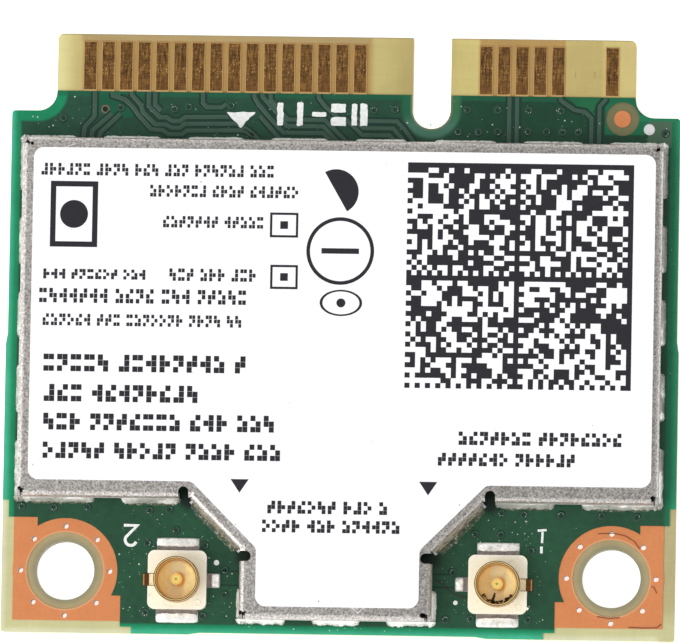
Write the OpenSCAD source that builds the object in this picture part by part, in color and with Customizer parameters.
// Half-size plug-in radio card, in millimetres.
// The card lies flat with its shielded side up. The origin is at the middle of the outline, on the
// underside. +Y points out of the gold edge connector and +X to the connector's short side.
// "Front" is the connector's edge and "rear" is the edge with the screw holes and antenna jacks.

/* [Board] */
// Width of the card across its shoulders
card_w = 29.85; // [29.2:0.05:30.4]
// Length of the card from its rear edge to the tip of the connector tongue
card_l = 26.65; // [26.2:0.05:27.6]
// Thickness of the board with its mask and copper
board_t = 1.0; // [0.8:0.05:1.6]
// Thickness of the solder mask on each side
mask_t = 0.05; // [0.04:0.01:0.08]
// Thickness of the copper on each side
copper_t = 0.03; // [0.02:0.01:0.04]
// Radius of the card's rear corners
corner_r = 0.15; // [0.1:0.05:0.4]
// How far the edges step in where the card was routed free of its panel
route_step = 0.08; // [0.04:0.01:0.15]
// Length of the slope at such a step
route_slope = 0.5; // [0.3:0.1:1]
// Half the length of the stepped stretch of the rear edge
rear_step_x = 6.35; // [5.5:0.05:8]
// Place along Y where the sides step in
side_step_y = -0.3; // [-2:0.1:2]

/* [Edge connector] */
// Width of the shoulder on each side of the tongue
shoulder_w = 2.075; // [1.9:0.025:2.3]
// Length of the tongue in front of the shoulders
tongue_l = 3.45; // [3.2:0.05:3.8]
// Radius where the tongue meets a shoulder
tongue_root_r = 0.85; // [0.4:0.05:1]
// Radius of the tongue's front corners
tongue_tip_r = 0.25; // [0.1:0.05:0.4]
// Place of the key notch along X
key_x = 3.8; // [3:0.1:4.6]
// Width of the key notch
key_w = 1.7; // [1.3:0.05:1.9]
// Depth of the key notch
key_depth = 4.05; // [3.6:0.05:4.2]
// Distance between neighbouring contacts
contact_pitch = 0.8; // [0.75:0.01:0.9]
// Width of one contact
contact_w = 0.6; // [0.4:0.02:0.64]
// Distance from the tongue's tip to the contacts
contact_setback = 0.32; // [0.2:0.02:0.6]
// Distance from the tongue's tip to the solder mask
mask_setback = 2.55; // [2.3:0.05:2.8]
// Smallest distance from the tongue's side to the middle of a contact
contact_side_margin = 1.0; // [0.8:0.05:1.2]

/* [Screw holes] */
// Distance from the card's side to the middle of a screw hole
hole_side = 2.825; // [2.7:0.025:3]
// Distance from the rear edge to the middle of a screw hole
hole_setback = 2.75; // [2.6:0.05:2.9]
// Diameter of a screw hole
hole_d = 2.6; // [2.2:0.05:2.8]
// Width of the bare ring between a screw hole and its copper
hole_ring = 0.41; // [0.2:0.01:0.5]
// Radius of the round part of a screw pad
pad_r = 2.33; // [2.2:0.01:2.5]
// Distance from the card's side to a screw pad
pad_side_gap = 0.525; // [0.4:0.025:0.7]
// Distance from the card's rear edge to a screw pad
pad_rear_gap = 0.545; // [0.4:0.005:0.7]
// Width of the pad's arm along the card's side
pad_side_arm = 1.05; // [0.8:0.05:1.2]
// Width of the pad's arm along the card's rear edge
pad_rear_arm = 1.13; // [0.9:0.01:1.2]
// How far the side arm reaches in front of the hole's middle
pad_side_reach = 2.355; // [2.2:0.005:2.6]
// How far the rear arm reaches inwards from the hole's middle
pad_rear_reach = 2.48; // [2.4:0.01:2.8]
// Radius of the circle of vias round a screw hole
via_circle_r = 1.98; // [1.9:0.01:2.05]
// Number of vias round a screw hole
via_count = 8; // [4:1:12]
// Diameter of a via's bore
via_d = 0.24; // [0.16:0.01:0.26]
// Thickness of the copper lining of a via
via_wall = 0.03; // [0.02:0.005:0.04]

/* [Marks on the front] */
// Diameter of the fiducial's copper disc
fiducial_d = 0.75; // [0.6:0.05:1]
// Diameter of the bare ring round the fiducial
fiducial_clear_d = 1.5; // [1.3:0.05:1.7]
// Distance from the tongue's side inwards to the fiducial
fiducial_inset = 0.57; // [0.5:0.01:0.8]
// Distance from the shoulder line back to the fiducial
fiducial_drop = 0.05; // [0:0.01:0.1]
// Diameter of a tinned test pad
test_pad_d = 0.5; // [0.4:0.05:0.6]
// Place of the front test pad across the shoulder, as a share of the shoulder's width
test_pad_share = 0.3; // [0.2:0.01:0.5]
// Distance from the shoulder line back to the front test pad
test_pad_drop = 0.505; // [0.45:0.005:0.6]
// Diameter of the open via's copper rim
open_via_rim_d = 0.4; // [0.35:0.01:0.5]
// Distance from the tongue's side inwards to the open via
open_via_inset = 2.15; // [2:0.05:2.4]
// Distance from the shoulder line forward to the open via
open_via_lead = 0.1; // [0:0.01:0.2]

/* [Underside] */
// Distance between neighbouring test pads on the underside
under_pitch = 2.6; // [2.2:0.1:3]
// Number of test pads in a row on the underside
under_count = 6; // [3:1:7]
// Distance from the rear edge to the rear row of test pads
under_setback = 6.2; // [6:0.1:8]
// Distance between the two rows of test pads
under_row_gap = 8.4; // [6:0.1:10]

/* [Shield] */
// Height of the shield above the board
shield_h = 1.3; // [1.25:0.05:1.8]
// Thickness of the folded sheet
sheet_t = 0.15; // [0.1:0.01:0.18]
// Outer radius of the folds
fold_r = 0.25; // [0.22:0.01:0.35]
// Distance from the card's side to the shield
shield_side_gap = 0.725; // [0.6:0.025:0.9]
// Distance from the shoulder line back to the shield
shield_front_gap = 1.275; // [1.2:0.025:1.6]
// Distance from the rear edge to the shield's rear wall beside the jacks
shield_rear_gap = 5.975; // [5.8:0.025:6.4]
// How far the shield was soldered off the card's middle, along X
shield_shift = -0.05; // [-0.1:0.01:0.1]
// Width of the nose between the jacks
nose_w = 8.5; // [8:0.1:9]
// Distance from the rear edge to the end of the nose
nose_gap = 0.675; // [0.6:0.025:0.9]
// Size of the slanted corner between the nose and the rear wall
nose_slant = 2.25; // [1.8:0.05:2.4]
// Width of the relief slots beside the slanted corners
relief_w = 0.45; // [0.3:0.05:0.5]
// How far the straight sides of the relief slots run into the flat plate
relief_depth = 0.03; // [0.02:0.01:0.1]
// Distance from a slanted corner to its relief slot
relief_offset = 0.06; // [0.03:0.01:0.1]
// Radius of the small hole where two folds meet
fold_hole_r = 0.1; // [0.06:0.01:0.14]
// Width of the slit between two walls that meet at a corner
corner_slit = 0.05; // [0.03:0.01:0.08]
// Width of the gaps between the soldered tabs
tab_gap_w = 1.25; // [0.8:0.05:1.5]
// Height of the gaps between the soldered tabs
tab_gap_h = 0.35; // [0.2:0.05:0.5]
// Shortest tab beside a corner
tab_min = 1.0; // [0.6:0.1:1.4]
// Width of the gap over each antenna trace
rf_gap_w = 1.2; // [0.8:0.05:1.4]
// How far that gap's middle lies in front of the jack's middle
rf_gap_lead = 0.25; // [0.15:0.01:0.3]

/* [Solder and lands] */
// How far a land reaches out from the shield's wall
land_out = 0.15; // [0.1:0.01:0.2]
// How far a land reaches in from the shield's wall
land_in = 0.12; // [0.05:0.01:0.2]
// Width of the solder fillet along a tab
fillet_w = 0.13; // [0.06:0.01:0.15]
// Height of the solder fillet along a tab
fillet_h = 0.3; // [0.15:0.01:0.4]

/* [Label] */
// Thickness of the label
label_t = 0.1; // [0.05:0.01:0.2]
// Border of bare shield in front of the label
label_front_gap = 0.48; // [0.35:0.01:0.8]
// Border of bare shield on each side of the label
label_side_gap = 0.42; // [0.36:0.01:0.8]
// Border of bare shield behind the label's wide part
label_rear_gap = 0.73; // [0.5:0.01:1]
// Border of bare shield on each side of the nose
label_nose_side_gap = 0.64; // [0.4:0.01:0.9]
// Border of bare shield at the end of the nose
label_nose_gap = 0.55; // [0.4:0.01:0.9]
// Border of bare shield beside the slanted corners, square to the slant
label_slant_gap = 0.5; // [0.4:0.01:0.8]
// How far the label was stuck off the shield's middle, along X
label_shift = 0.1; // [-0.1:0.01:0.1]
// Radius of the label's corners
label_r = 0.45; // [0.2:0.05:0.8]

/* [Antenna jacks] */
// Place of each jack's middle between the nose and the screw pad, as a share of the space between them
jack_share = 0.53; // [0.48:0.01:0.56]
// Distance from the rear edge to a jack's middle
jack_setback = 2.395; // [2.3:0.005:2.5]
// Width of the jack's square housing
jack_w = 2.6; // [2.4:0.05:2.7]
// Corner radius of the housing
jack_corner_r = 0.3; // [0.1:0.05:0.4]
// Height of the housing above the board
jack_body_h = 0.42; // [0.38:0.01:0.6]
// Height of the whole jack above the board
jack_h = 1.25; // [1.1:0.05:1.4]
// Outer diameter of the shell's ring
ring_d = 2.0; // [1.8:0.02:2.1]
// Thickness of the shell's sheet
ring_t = 0.1; // [0.06:0.01:0.12]
// Depth of the snap groove in the ring
groove_depth = 0.04; // [0.02:0.01:0.05]
// Width of the snap groove
groove_w = 0.2; // [0.1:0.05:0.3]
// Distance from the ring's rim to the middle of the snap groove
groove_drop = 0.45; // [0.35:0.05:0.5]
// Depth of the floor inside the ring, below the housing's top
floor_drop = 0.1; // [0.04:0.01:0.14]
// How deep the ring stands in the housing
ring_seat = 0.14; // [0.12:0.01:0.18]
// Diameter of the centre contact
pin_d = 0.5; // [0.4:0.02:0.6]
// How far the centre contact's moulded-in collar stands out round it
pin_collar = 0.2; // [0.16:0.01:0.25]
// Distance of the centre contact's tip below the ring's rim
pin_drop = 0.3; // [0.2:0.05:0.5]
// Diameter of the dimple in the centre contact's tip
dimple_d = 0.16; // [0.1:0.02:0.2]
// Thickness of the solder feet
foot_t = 0.14; // [0.1:0.01:0.16]
// Width of the two wide ground feet
ground_foot_w = 1.8; // [1.4:0.05:2]
// Reach of the wide ground feet from the jack's middle
ground_foot_reach = 1.5; // [1.45:0.01:1.56]
// Width of the narrow ground foot on the outer side
side_foot_w = 0.5; // [0.4:0.02:0.6]
// Reach of the narrow ground foot from the jack's middle
side_foot_reach = 1.52; // [1.45:0.01:1.56]
// Width of the centre contact's tail
tail_w = 0.56; // [0.4:0.02:0.7]
// Reach of the centre contact's tail from the jack's middle
tail_reach = 1.58; // [1.5:0.01:1.64]
// Reach of the lands past the jack's middle
jack_land_reach = 1.86; // [1.8:0.01:1.95]
// How much wider than its foot each land is, on each side
jack_land_extra = 0.04; // [0.02:0.01:0.06]

/* [Parts under the shield] */
// Width of the radio chip
radio_w = 9; // [7:0.5:10]
// Height of the radio chip
radio_h = 0.85; // [0.7:0.05:0.95]
// Distance between the radio chip's leads
radio_pitch = 0.5; // [0.4:0.05:0.65]
// Width of each front-end module
front_end_w = 3.5; // [2.5:0.5:4]
// Height of each front-end module
front_end_h = 0.9; // [0.6:0.05:0.95]
// Width of the memory chip
memory_w = 3; // [2:0.5:4]
// Height of the memory chip
memory_h = 0.75; // [0.5:0.05:0.9]
// Length of the crystal's case
crystal_l = 3.2; // [2.5:0.1:3.6]
// Width of the crystal's case
crystal_w = 2.5; // [2:0.1:2.8]
// Height of the crystal's case with its lid
crystal_h = 0.8; // [0.6:0.05:0.9]
// Width of each power inductor
inductor_w = 3; // [2:0.1:3.2]
// Height of each power inductor
inductor_h = 0.95; // [0.8:0.05:1]
// Length of a small capacitor or resistor
passive_l = 1.0; // [0.6:0.1:1.2]
// Width of a small capacitor or resistor
passive_w = 0.5; // [0.3:0.05:0.6]
// Height of a small capacitor
capacitor_h = 0.5; // [0.3:0.05:0.6]
// Height of a small resistor
resistor_h = 0.35; // [0.25:0.05:0.4]
// Distance between neighbouring small parts in a row
passive_pitch = 1.0; // [0.8:0.05:1.2]
// Length of an antenna filter
filter_l = 2.0; // [1.6:0.1:2.4]
// Width of an antenna filter
filter_w = 1.25; // [0.8:0.05:1.4]
// Height of an antenna filter
filter_h = 0.7; // [0.5:0.05:0.9]

/* [Hidden] */
$fn = 48;

// A cut reaches this far past the faces that it opens
cut = 0.1;
// Number of straight pieces in a rounded corner of an outline
corner_steps = 8;

// Heights above the underside
core_t = board_t - 2 * mask_t;
core_top = board_t - mask_t;
copper_top = core_top + copper_t;
shield_top = board_t + shield_h;

// Lines across the card
tongue_w = card_w - 2 * shoulder_w;
front_y = card_l / 2;
rear_y = -card_l / 2;
shoulder_y = front_y - tongue_l;
mask_front_y = front_y - mask_setback;

// Screw holes and pads
hole_x = card_w / 2 - hole_side;
hole_y = rear_y + hole_setback;
pad_outer_x = card_w / 2 - pad_side_gap;
pad_rear_y = rear_y + pad_rear_gap;
pad_front_y = hole_y + pad_side_reach;
pad_inner_x = hole_x - pad_rear_reach;

// Contacts count outwards from the key notch, in pitches
top_left_first = 2;
top_right_first = 3;
bottom_first = 2.5;
// Positions that carry no contact, counted outwards from the key notch
top_left_bare = [0, 1];
top_right_bare = [5, 6];
bottom_right_bare = [0, 1, 2, 3, 4];

// Outline of the shield, anticlockwise from the nose's rear left corner
shield_x = card_w / 2 - shield_side_gap;
shield_front_y = shoulder_y - shield_front_gap;
shield_rear_y = rear_y + shield_rear_gap;
nose_x = nose_w / 2;
nose_y = rear_y + nose_gap;
slant_x = nose_x + nose_slant;
slant_y = shield_rear_y - nose_slant;
SHIELD_OUTLINE = [
    [-nose_x, nose_y], [nose_x, nose_y], [nose_x, slant_y], [slant_x, shield_rear_y],
    [shield_x, shield_rear_y], [shield_x, shield_front_y],
    [-shield_x, shield_front_y], [-shield_x, shield_rear_y],
    [-slant_x, shield_rear_y], [-nose_x, slant_y]
];
ceiling = shield_top - sheet_t;

// Places of the gaps between tabs, along the wall they are in
front_gap_x = [11.2, 7.35, 3.4, -0.1, -3.85, -7.55, -11.3];
side_gap_y = [-4.2, -0.85, 2.4, 5.7];
nose_gap_x = [-1.65, 1.65];
rear_gap_x = 10.2;

// Antenna jacks
jack_x = nose_x + jack_share * (pad_inner_x - nose_x);
jack_y = rear_y + jack_setback;
ring_r = ring_d / 2;
rf_gap_y = jack_y + rf_gap_lead;
// How far the feet's buried parts lie above the board
foot_lift = 0.06;
// Where a foot steps down to its land, from the jack's middle
foot_step = jack_w / 2 - 0.2;

// Places of the parts under the shield
bay_y = (shield_front_y + shield_rear_y) / 2;
bay_side_x = (radio_w / 2 + shield_x) / 2;
// From front to rear a row of small parts, the radio chip, the front ends and the filters share the free
// length in four equal gaps
bay_front_y = shield_front_y - sheet_t;
bay_free_l = bay_front_y - rf_gap_y - passive_l - radio_w - front_end_w - filter_w / 2;
bay_gap = bay_free_l / 4;
row_y = bay_front_y - bay_gap - passive_l / 2;
radio_y = row_y - passive_l / 2 - bay_gap - radio_w / 2;
front_end_y = radio_y - radio_w / 2 - bay_gap - front_end_w / 2;

// Turns a vector to unit length
function unit(v) = v / norm(v);

// Points of an arc that rounds corner b between a and c with radius r
function rounded_corner(a, b, c, r) =
    let (u = unit(a - b), v = unit(c - b), half = acos(u * v) / 2)
    let (centre = b + unit(u + v) * r / sin(half), reach = r / tan(half))
    let (p = b + u * reach - centre, q = b + v * reach - centre)
    let (start = atan2(p[1], p[0]), turn = (atan2(q[1], q[0]) - start + 540) % 360 - 180)
    r == 0 ? [b] : [for (i = [0:corner_steps])
        centre + r * [cos(start + turn * i / corner_steps), sin(start + turn * i / corner_steps)]];

// Points of a closed outline whose corner i is rounded with radii[i]
function rounded_outline(points, radii) =
    let (n = len(points))
    [for (i = [0:n - 1])
        each rounded_corner(points[(i + n - 1) % n], points[i], points[(i + 1) % n], radii[i])];

// Inward unit normal of the edge from p to q of an anticlockwise outline
function inward(p, q) = let (d = unit(q - p)) [-d[1], d[0]];

// Moves each edge i of an anticlockwise outline inwards by gaps[i]
function inset(points, gaps) =
    let (n = len(points))
    [for (i = [0:n - 1])
        let (a = inward(points[(i + n - 1) % n], points[i]), b = inward(points[i], points[(i + 1) % n]))
        let (g = gaps[(i + n - 1) % n], h = gaps[i], s = a[0] * b[1] - a[1] * b[0])
        points[i] + [(g * b[1] - h * a[1]) / s, (h * a[0] - g * b[0]) / s]];

// True where list has value
function listed(value, list) = len([for (v = list) if (v == value) v]) > 0;

// Middles of the contacts along X, outwards from the key notch to one side
function contact_row(side, first, bare) =
    let (start = key_x + side * first * contact_pitch)
    let (room = tongue_w / 2 - contact_side_margin - side * start)
    [for (k = [0:floor(room / contact_pitch)]) if (!listed(k, bare)) start + side * k * contact_pitch];

// Outline of the card without its holes
module card_outline() {
    side_x = card_w / 2;
    upper_x = side_x - route_step;
    half_slope = route_slope / 2;
    points = [
        [-side_x, rear_y], [-rear_step_x - half_slope, rear_y],
        [-rear_step_x + half_slope, rear_y + route_step],
        [rear_step_x - half_slope, rear_y + route_step], [rear_step_x + half_slope, rear_y],
        [side_x, rear_y], [side_x, side_step_y - half_slope], [upper_x, side_step_y + half_slope],
        [upper_x, shoulder_y], [tongue_w / 2, shoulder_y], [tongue_w / 2, front_y],
        [-tongue_w / 2, front_y], [-tongue_w / 2, shoulder_y], [-upper_x, shoulder_y],
        [-upper_x, side_step_y + half_slope], [-side_x, side_step_y - half_slope]
    ];
    radii = [
        corner_r, 0, 0, 0, 0, corner_r, 0, 0,
        corner_r, tongue_root_r, tongue_tip_r, tongue_tip_r, tongue_root_r, corner_r, 0, 0
    ];
    difference() {
        polygon(rounded_outline(points, radii));
        key_notch();
    }
}

// Key notch with a full round end
module key_notch() {
    round_y = front_y - key_depth + key_w / 2;
    translate([key_x, round_y]) circle(d = key_w);
    translate([key_x - key_w / 2, round_y]) square([key_w, front_y - round_y + cut]);
}

// Draws its children at both screw holes, mirrored left to right
module at_screw_holes() {
    for (side = [0, 1]) mirror([side, 0]) translate([hole_x, hole_y]) children();
}

// Draws its children at each via round a screw hole
module at_pad_vias() {
    for (i = [0:via_count - 1]) rotate(90 + 360 * i / via_count) translate([via_circle_r, 0]) children();
}

module open_via_place() {
    translate([-(tongue_w / 2 - open_via_inset), shoulder_y + open_via_lead]) children();
}

// Card with its screw holes, the full board's plan
module card_plan() {
    difference() {
        card_outline();
        at_screw_holes() circle(d = hole_d);
    }
}

// One screw pad, around the right-hand hole, without its vias
module screw_pad_plan() {
    difference() {
        union() {
            intersection() {
                translate([hole_x, hole_y]) circle(pad_r);
                translate([0, pad_rear_y]) square([card_w, card_w]);
            }
            translate([pad_outer_x - pad_side_arm, pad_rear_y])
                square([pad_side_arm, pad_front_y - pad_rear_y]);
            translate([pad_inner_x, pad_rear_y]) square([pad_outer_x - pad_inner_x, pad_rear_arm]);
            translate([hole_x, pad_rear_y]) square([pad_outer_x - hole_x, hole_y - pad_rear_y]);
        }
        translate([hole_x, hole_y]) circle(d = hole_d + 2 * hole_ring);
    }
}

// Screw pad with its vias' bores
module screw_pad_face() {
    difference() {
        screw_pad_plan();
        translate([hole_x, hole_y]) at_pad_vias() circle(d = via_d, $fn = 24);
    }
}

// Bare corner of the laminate outside the right-hand screw pad
module bare_corner_plan() {
    side_lip = 0.28;
    side_lip_l = 0.75;
    rear_lip = 0.3;
    rear_lip_l = 0.5;
    beyond = card_w / 2 + cut;
    translate([pad_outer_x, rear_y - cut]) square([beyond - pad_outer_x, pad_front_y - rear_y + cut]);
    translate([card_w / 2 - side_lip, rear_y - cut])
        square([side_lip + cut, pad_front_y + side_lip_l - rear_y + cut]);
    translate([pad_inner_x, rear_y - cut]) square([beyond - pad_inner_x, pad_rear_gap + cut]);
    translate([pad_inner_x - rear_lip_l, rear_y - cut])
        square([beyond - pad_inner_x + rear_lip_l, rear_lip + cut]);
}

// What the mask leaves open on either side: the contacts' zone, the screw pads and the bare corners
module common_openings() {
    translate([-card_w, mask_front_y]) square([2 * card_w, front_y]);
    at_screw_holes() circle(d = hole_d + 2 * hole_ring + cut);
    for (side = [0, 1]) mirror([side, 0]) {
        screw_pad_plan();
        bare_corner_plan();
    }
}

module fiducial_place() {
    translate([tongue_w / 2 - fiducial_inset, shoulder_y - fiducial_drop]) children();
}

module test_pad_place() {
    translate([tongue_w / 2 + shoulder_w * test_pad_share, shoulder_y - test_pad_drop]) children();
}

// Plans of the test pads on the underside
module under_pads_plan() {
    for (row = [0, 1], i = [0:under_count - 1])
        translate([(i - (under_count - 1) / 2) * under_pitch, rear_y + under_setback + row * under_row_gap])
            circle(d = test_pad_d);
}

module circuit_board() {
    color("darkkhaki")
        translate([0, 0, mask_t]) linear_extrude(core_t) difference() {
            card_plan();
            at_screw_holes() at_pad_vias() circle(d = via_d + 2 * via_wall, $fn = 24);
            open_via_place() circle(d = via_d + 2 * via_wall, $fn = 24);
        }
}

module solder_mask_top() {
    color("seagreen")
        translate([0, 0, core_top]) linear_extrude(mask_t) difference() {
            card_plan();
            common_openings();
            fiducial_place() circle(d = fiducial_clear_d);
            test_pad_place() circle(d = test_pad_d);
            open_via_place() circle(d = open_via_rim_d);
            shield_lands_plan();
            for (side = [0, 1]) mirror([side, 0]) jack_lands_plan();
        }
}

module solder_mask_bottom() {
    color("seagreen")
        linear_extrude(mask_t) difference() {
            card_plan();
            common_openings();
            under_pads_plan();
            open_via_place() circle(d = open_via_rim_d);
        }
}

// One row of contacts, from its list of middles
module contacts_plan(middles) {
    for (x = middles)
        translate([x - contact_w / 2, mask_front_y]) square([contact_w, mask_setback - contact_setback]);
}

module edge_contacts_top() {
    color("goldenrod") translate([0, 0, core_top]) linear_extrude(copper_t) {
        contacts_plan(contact_row(-1, top_left_first, top_left_bare));
        contacts_plan(contact_row(1, top_right_first, top_right_bare));
    }
}

module edge_contacts_bottom() {
    color("goldenrod") translate([0, 0, mask_t - copper_t]) linear_extrude(copper_t) {
        contacts_plan(contact_row(-1, bottom_first, []));
        contacts_plan(contact_row(1, bottom_first, bottom_right_bare));
    }
}

// Copper lining of one via through the board's core
module via_lining() {
    translate([0, 0, mask_t]) difference() {
        cylinder(h = core_t, d = via_d + 2 * via_wall, $fn = 24);
        translate([0, 0, -cut]) cylinder(h = core_t + 2 * cut, d = via_d, $fn = 24);
    }
}

// Right-hand screw pad on top, with the linings of its vias
module screw_pad_with_vias() {
    translate([0, 0, core_top]) linear_extrude(copper_t) screw_pad_face();
    translate([hole_x, hole_y, 0]) at_pad_vias() via_lining();
}

module screw_pad_top_left() {
    color("peru") mirror([1, 0, 0]) screw_pad_with_vias();
}

module screw_pad_top_right() {
    color("peru") screw_pad_with_vias();
}

module screw_pad_bottom() {
    color("peru") translate([0, 0, mask_t - copper_t]) linear_extrude(copper_t) screw_pad_face();
}

module screw_pad_bottom_left() {
    mirror([1, 0, 0]) screw_pad_bottom();
}

module screw_pad_bottom_right() {
    screw_pad_bottom();
}

module fiducial_disc() {
    color("coral") fiducial_place() translate([0, 0, core_top]) cylinder(h = copper_t, d = fiducial_d);
}

module test_pad_top() {
    color("gainsboro") test_pad_place() translate([0, 0, core_top]) cylinder(h = copper_t, d = test_pad_d);
}

module open_via() {
    color("peru") open_via_place() {
        via_lining();
        for (z = [mask_t - copper_t, core_top]) translate([0, 0, z]) difference() {
            cylinder(h = copper_t, d = open_via_rim_d);
            translate([0, 0, -cut]) cylinder(h = copper_t + 2 * cut, d = via_d, $fn = 24);
        }
    }
}

module test_pads_bottom() {
    color("gainsboro") translate([0, 0, mask_t - copper_t]) linear_extrude(copper_t) under_pads_plan();
}

// How far a fold or a wall stops short of its edge's ends.
// At a square corner the folds stop inside the small hole, and the cross walls stop short of the side walls.
// Beside a slanted corner the straight edge stops past the relief slot, and the slant just before it.
hole_stop = fold_r + fold_hole_r / 2;
square_stop = sheet_t + corner_slit;
slot_stop = relief_offset + relief_w;
slant_stop = 0.03;
// The slanted folds run this far into the plate
slant_lap = 0.05;
slant_edges = [2, 8];

function edge_start(i) = SHIELD_OUTLINE[i];
function edge_end(i) = SHIELD_OUTLINE[(i + 1) % len(SHIELD_OUTLINE)];
function edge_length(i) = norm(edge_end(i) - edge_start(i));

// Those middles of tab gaps along edge i that leave a tab of at least tab_min at each end
function tab_gaps(i, middles) =
    let (margin = tab_gap_w / 2 + tab_min)
    [for (g = middles) if (g > margin && g < edge_length(i) - margin) g];

// One record for each edge of the outline: fold stops, wall stops, middles and widths of its gaps
// The middles are measured along the edge from its first point
SHIELD_EDGES = [
    [[hole_stop, hole_stop], [square_stop, square_stop],
        tab_gaps(0, [for (x = nose_gap_x) x + nose_x]), tab_gap_w],
    [[hole_stop, slot_stop], [0, slot_stop], [rf_gap_y - nose_y], rf_gap_w],
    [[slant_stop, slant_stop], [slant_stop, slant_stop], [], tab_gap_w],
    [[slot_stop, hole_stop], [slot_stop, square_stop], tab_gaps(3, [rear_gap_x - slant_x]), tab_gap_w],
    [[hole_stop, hole_stop], [0, 0], tab_gaps(4, [for (y = side_gap_y) y - shield_rear_y]), tab_gap_w],
    [[hole_stop, hole_stop], [square_stop, square_stop],
        tab_gaps(5, [for (x = front_gap_x) shield_x - x]), tab_gap_w],
    [[hole_stop, hole_stop], [0, 0],
        tab_gaps(6, [for (i = [3:-1:0]) shield_front_y - side_gap_y[i]]), tab_gap_w],
    [[hole_stop, slot_stop], [square_stop, slot_stop], tab_gaps(7, [shield_x - rear_gap_x]), tab_gap_w],
    [[slant_stop, slant_stop], [slant_stop, slant_stop], [], tab_gap_w],
    [[slot_stop, hole_stop], [slot_stop, 0], [slant_y - rf_gap_y], rf_gap_w]
];

// Stretches [from, to] of edge i that stand on the board as soldered tabs
function edge_tabs(i) =
    let (w = SHIELD_EDGES[i][3], stops = SHIELD_EDGES[i][1], gaps = SHIELD_EDGES[i][2])
    let (starts = concat([stops[0]], [for (g = gaps) g + w / 2]))
    let (ends = concat([for (g = gaps) g - w / 2], [edge_length(i) - stops[1]]))
    [for (k = [0:len(starts) - 1]) if (ends[k] - starts[k] > fillet_w) [starts[k], ends[k]]];

// Draws its children with X along edge i from its first point and Y inwards
module on_edge(i) {
    d = edge_end(i) - edge_start(i);
    translate(edge_start(i)) rotate(atan2(d[1], d[0])) children();
}

// The same, where the shield stands on the card
module on_shield_edge(i) {
    translate([shield_shift, 0]) on_edge(i) children();
}

// Sweeps a profile in Y and Z along X from a to b
module along_x(a, b) {
    translate([a, 0, 0]) rotate([90, 0, 90]) linear_extrude(b - a) children();
}

// Lands under the soldered tabs
module shield_lands_plan() {
    for (i = [0:len(SHIELD_OUTLINE) - 1]) on_shield_edge(i) for (tab = edge_tabs(i))
        translate([tab[0], -land_out]) square([tab[1] - tab[0], land_out + sheet_t + land_in]);
}

module shield_lands() {
    color("silver") translate([0, 0, core_top]) linear_extrude(copper_t) shield_lands_plan();
}

// Hollow section of the solder between a land and a wall's outer face
module fillet_profile() {
    steps = 5;
    curve = [for (a = [0:90 / steps:90]) [-fillet_w * (1 - sin(a)), fillet_h * (1 - cos(a))]];
    polygon(concat([[0, 0]], curve));
}

module shield_solder() {
    color("whitesmoke")
        for (i = [0:len(SHIELD_OUTLINE) - 1]) on_shield_edge(i) for (tab = edge_tabs(i))
            translate([0, 0, copper_top]) along_x(tab[0], tab[1]) fillet_profile();
}

// Section of the quarter-round fold between the top plate and a wall, with its lap in the plate
module fold_profile(lap) {
    translate([fold_r, shield_top - fold_r]) intersection() {
        difference() {
            circle(fold_r);
            circle(fold_r - sheet_t);
        }
        translate([-fold_r, 0]) square(fold_r);
    }
    if (lap > 0) translate([fold_r, ceiling]) square([lap, sheet_t]);
}

// Wall and fold along edge i, with the gaps between its tabs
module shield_wall(i) {
    folds = SHIELD_EDGES[i][0];
    walls = SHIELD_EDGES[i][1];
    w = SHIELD_EDGES[i][3];
    on_edge(i) {
        along_x(folds[0], edge_length(i) - folds[1])
            fold_profile(listed(i, slant_edges) ? 2 * slant_lap : 0);
        difference() {
            along_x(walls[0], edge_length(i) - walls[1])
                translate([0, copper_top]) square([sheet_t, shield_top - fold_r - copper_top]);
            for (g = SHIELD_EDGES[i][2])
                translate([g - w / 2, -cut, copper_top - cut]) cube([w, sheet_t + 2 * cut, tab_gap_h + cut]);
        }
    }
}

// Relief slots at the slanted corners and small holes where two folds meet
module plate_cuts() {
    reach = fold_r + relief_depth;
    for (side = [-1, 1]) {
        translate([side * (slant_x + relief_offset + relief_w / 2), shield_rear_y + reach]) {
            circle(d = relief_w);
            translate([-relief_w / 2, -2 * reach]) square([relief_w, 2 * reach]);
        }
        translate([side * (nose_x - reach), slant_y - relief_offset - relief_w / 2]) {
            circle(d = relief_w);
            translate([side > 0 ? 0 : -2 * reach, -relief_w / 2]) square([2 * reach, relief_w]);
        }
        square_corners = [[nose_x, nose_y, 1], [shield_x, shield_rear_y, 1], [shield_x, shield_front_y, -1]];
        for (corner = square_corners)
            translate([side * (corner[0] - fold_r), corner[1] + corner[2] * fold_r])
                circle(fold_hole_r, $fn = 24);
    }
}

module shield_can() {
    edges = len(SHIELD_OUTLINE);
    color("darkgray") translate([shield_shift, 0]) {
        translate([0, 0, ceiling]) linear_extrude(sheet_t) difference() {
            polygon(inset(SHIELD_OUTLINE,
                [for (i = [0:edges - 1]) listed(i, slant_edges) ? fold_r + slant_lap : fold_r]));
            plate_cuts();
        }
        for (i = [0:edges - 1]) shield_wall(i);
    }
}

module shield_label() {
    gaps = [
        label_nose_gap, label_nose_side_gap, label_slant_gap, label_rear_gap, label_side_gap,
        label_front_gap, label_side_gap, label_rear_gap, label_slant_gap, label_nose_side_gap
    ];
    radii = [for (i = [1:len(gaps)]) label_r];
    color("white")
        translate([shield_shift + label_shift, 0, shield_top]) linear_extrude(label_t)
            polygon(rounded_outline(inset(SHIELD_OUTLINE, gaps), radii));
}

// Draws its children at one antenna jack, with +X towards the card's middle
module at_jack(side) {
    if (side < 0) translate([-jack_x, jack_y, 0]) children();
    else translate([jack_x, jack_y, 0]) mirror([1, 0, 0]) children();
}

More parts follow.
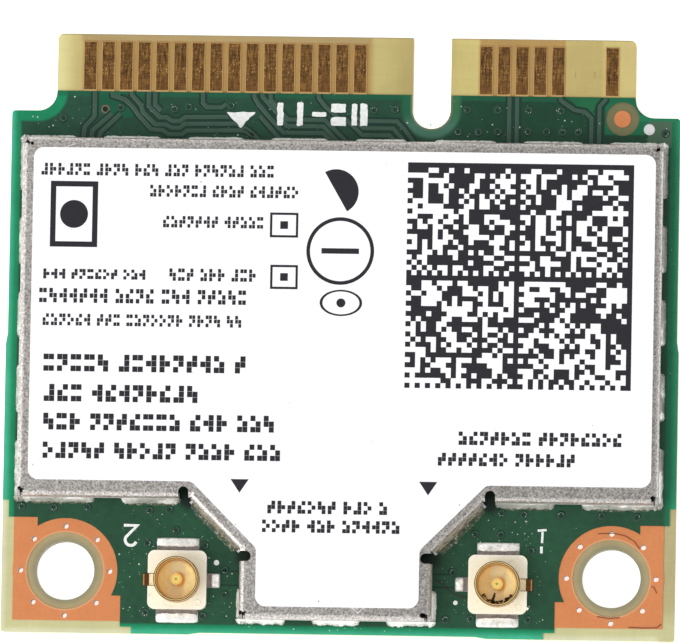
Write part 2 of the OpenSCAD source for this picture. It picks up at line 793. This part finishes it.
// Lands of the right-hand jack, on the card
module jack_lands_plan() {
    ground_w = ground_foot_w + 2 * jack_land_extra;
    tail_land_w = tail_w + 2 * jack_land_extra;
    side_land_w = side_foot_w + 2 * jack_land_extra;
    land_l = jack_land_reach - foot_step;
    translate([jack_x, jack_y]) mirror([1, 0]) {
        for (y = [foot_step, -jack_land_reach]) translate([-ground_w / 2, y]) square([ground_w, land_l]);
        translate([foot_step, -tail_land_w / 2]) square([land_l, tail_land_w]);
        translate([-side_foot_reach - jack_land_extra, -side_land_w / 2])
            square([side_foot_reach + jack_land_extra - foot_step, side_land_w]);
    }
}

module jack_lands() {
    color("silver") translate([0, 0, core_top]) linear_extrude(copper_t)
        for (side = [0, 1]) mirror([side, 0]) jack_lands_plan();
}

// A foot along +X: its buried part starts at inner, and it steps down to the land at foot_step
module foot(inner, reach, w) {
    translate([foot_step, -w / 2, copper_top]) cube([reach - foot_step, w, foot_t]);
    translate([inner, -w / 2, board_t + foot_lift]) cube([foot_step + foot_t - inner, w, foot_t]);
}

// Tube of the shell between two heights above the board
module ring_tube(low, high, outer) {
    translate([0, 0, board_t + low]) difference() {
        cylinder(h = high - low, r = outer);
        translate([0, 0, -cut]) cylinder(h = high - low + 2 * cut, r = ring_r - ring_t);
    }
}

// Stamped shell: a ring with a snap groove and three feet
module jack_shell() {
    ring_low = jack_body_h - ring_seat;
    groove_low = jack_h - groove_drop - groove_w / 2;
    groove_high = groove_low + groove_w;
    ring_tube(ring_low, groove_low, ring_r);
    ring_tube(groove_low, groove_high, ring_r - groove_depth);
    ring_tube(groove_high, jack_h, ring_r);
    feet = [[90, ground_foot_reach, ground_foot_w], [-90, ground_foot_reach, ground_foot_w],
        [180, side_foot_reach, side_foot_w]];
    for (f = feet) rotate(f[0]) {
        foot(ring_r - ring_t, f[1], f[2]);
        intersection() {
            ring_tube(foot_lift, ring_low, ring_r);
            translate([ring_r / 2, -f[2] / 2, board_t]) cube([ring_r, f[2], jack_h]);
        }
    }
}

// Centre contact: a round pin on a tail that leaves towards the card's middle, with a collar up to the floor
module jack_pin() {
    tip = jack_h - pin_drop;
    collar_h = jack_body_h - floor_drop - foot_lift;
    difference() {
        translate([0, 0, board_t + foot_lift]) cylinder(h = tip - foot_lift, d = pin_d);
        translate([0, 0, board_t + tip - dimple_d]) cylinder(h = dimple_d + cut, d = dimple_d, $fn = 24);
    }
    translate([0, 0, board_t + foot_lift]) cylinder(h = collar_h, d = pin_d + 2 * pin_collar);
    foot(0, tail_reach, tail_w);
}

// Moulded housing, cast round the shell and the centre contact
module jack_housing() {
    half = jack_w / 2;
    window_w = side_foot_w + 2 * jack_land_extra;
    inner = half - jack_corner_r;
    difference() {
        translate([0, 0, board_t]) linear_extrude(jack_body_h) union() {
            square([jack_w, 2 * inner], center = true);
            square([2 * inner, jack_w], center = true);
            for (x = [-inner, inner], y = [-inner, inner]) translate([x, y]) circle(jack_corner_r);
        }
        translate([0, 0, board_t + jack_body_h - floor_drop]) cylinder(h = jack_h, r = ring_r - ring_t);
        translate([-half - cut, -window_w / 2, board_t - cut])
            cube([half + cut - ring_r, window_w, jack_body_h + 2 * cut]);
        jack_shell();
        jack_pin();
    }
}

// Solder wedge at the end of a foot, along +X
module foot_solder(reach, w) {
    rise = foot_t * 0.9;
    run = jack_land_reach - reach - 0.03;
    translate([reach, w / 2, copper_top]) rotate([90, 0, 0]) linear_extrude(w)
        polygon([[0, 0], [run, 0], [run * 0.85, rise * 0.45], [run * 0.45, rise * 0.85], [0, rise]]);
}

module jack_solder() {
    for (a = [90, -90]) rotate(a) foot_solder(ground_foot_reach, ground_foot_w);
    foot_solder(tail_reach, tail_w);
}

module jack_left_housing() {
    color("antiquewhite") at_jack(-1) jack_housing();
}

module jack_left_shell() {
    color("gold") at_jack(-1) jack_shell();
}

module jack_left_pin() {
    color("gold") at_jack(-1) jack_pin();
}

module jack_left_solder() {
    color("whitesmoke") at_jack(-1) jack_solder();
}

module jack_right_housing() {
    color("antiquewhite") at_jack(1) jack_housing();
}

module jack_right_shell() {
    color("gold") at_jack(1) jack_shell();
}

module jack_right_pin() {
    color("gold") at_jack(1) jack_pin();
}

module jack_right_solder() {
    color("whitesmoke") at_jack(1) jack_solder();
}

// Flat chip with leads along its four sides and a dot at its first lead
module flat_chip(w, h, pitch) {
    lead_w = pitch / 2;
    lead_l = 0.4;
    lead_out = 0.05;
    lead_t = 0.1;
    side_count = floor((w - 2 * lead_l) / pitch);
    translate([0, 0, board_t]) {
        difference() {
            translate([-w / 2, -w / 2, 0]) cube([w, w, h]);
            translate([-w / 2 + 0.6, w / 2 - 0.6, h - 0.05]) cylinder(h = 1, d = 0.4);
        }
        for (a = [0, 90, 180, 270], i = [0:side_count]) rotate(a)
            translate([w / 2 - lead_l, (i - side_count / 2) * pitch - lead_w / 2, 0])
                cube([lead_l + lead_out, lead_w, lead_t]);
    }
}

// Small two-ended part, with end caps slightly larger than its body
module two_ended(l, w, h) {
    cap_l = l / 4;
    skin = 0.02;
    translate([-l / 2 + skin, -w / 2 + skin, board_t + skin])
        cube([l - 2 * skin, w - 2 * skin, h - 2 * skin]);
    for (x = [-l / 2, l / 2 - cap_l]) translate([x, -w / 2, board_t]) cube([cap_l, w, h]);
}

module radio_chip() {
    color("dimgray") translate([0, radio_y, 0]) flat_chip(radio_w, radio_h, radio_pitch);
}

module memory_chip() {
    color("dimgray")
        translate([bay_side_x, radio_y + radio_w / 4, 0]) flat_chip(memory_w, memory_h, radio_pitch);
}

module crystal() {
    lid_gap = 0.25;
    lid_t = 0.15;
    color("lightgray") translate([bay_side_x, bay_y - 1.6, board_t]) {
        translate([-crystal_l / 2, -crystal_w / 2, 0]) cube([crystal_l, crystal_w, crystal_h - lid_t]);
        translate([-crystal_l / 2 + lid_gap, -crystal_w / 2 + lid_gap, 0])
            cube([crystal_l - 2 * lid_gap, crystal_w - 2 * lid_gap, crystal_h]);
    }
}

// Front-end modules stand behind the radio chip, one for each jack
module front_end(side) {
    x = side * (front_end_w / 2 + 0.4);
    color("dimgray") translate([x, front_end_y, 0]) flat_chip(front_end_w, front_end_h, radio_pitch);
}

module front_end_left() {
    front_end(-1);
}

module front_end_right() {
    front_end(1);
}

module antenna_filters() {
    color("tan") for (side = [-1, 1])
        translate([side * nose_x / 2, rf_gap_y, 0]) two_ended(filter_l, filter_w, filter_h);
}

// Wound inductor: a square ferrite drum with its corners cut
module power_inductors() {
    bevel = inductor_w / 6;
    h = inductor_w / 2;
    color("slategray") for (y = [-1, 1])
        translate([-bay_side_x, bay_y + y * (inductor_w / 2 + 0.5), board_t]) linear_extrude(inductor_h)
            polygon([[-h + bevel, -h], [h - bevel, -h], [h, -h + bevel], [h, h - bevel],
                [h - bevel, h], [-h + bevel, h], [-h, h - bevel], [-h, -h + bevel]]);
}

// Rows of small parts in front of the radio chip and beside the inductors
module chip_capacitors() {
    color("burlywood") {
        for (i = [-4:4])
            translate([i * passive_pitch, row_y, 0]) rotate(90) two_ended(passive_l, passive_w, capacitor_h);
        for (i = [0:3])
            translate([-shield_x + 1.3, bay_y + (i - 1.5) * passive_pitch * 1.5, 0])
                rotate(90) two_ended(passive_l, passive_w, capacitor_h);
    }
}

module chip_resistors() {
    y = shield_rear_y + 1.2;
    color("darkslategray") for (side = [-1, 1], i = [0:3])
        translate([side * (slant_x + 1.5 + i * passive_pitch), y, 0])
            rotate(90) two_ended(passive_l, passive_w, resistor_h);
}

circuit_board();
solder_mask_top();
solder_mask_bottom();
edge_contacts_top();
edge_contacts_bottom();
screw_pad_top_left();
screw_pad_top_right();
screw_pad_bottom_left();
screw_pad_bottom_right();
fiducial_disc();
test_pad_top();
open_via();
test_pads_bottom();
shield_lands();
shield_solder();
shield_can();
shield_label();
jack_lands();
jack_left_housing();
jack_left_shell();
jack_left_pin();
jack_left_solder();
jack_right_housing();
jack_right_shell();
jack_right_pin();
jack_right_solder();
radio_chip();
memory_chip();
crystal();
front_end_left();
front_end_right();
antenna_filters();
power_inductors();
chip_capacitors();
chip_resistors();
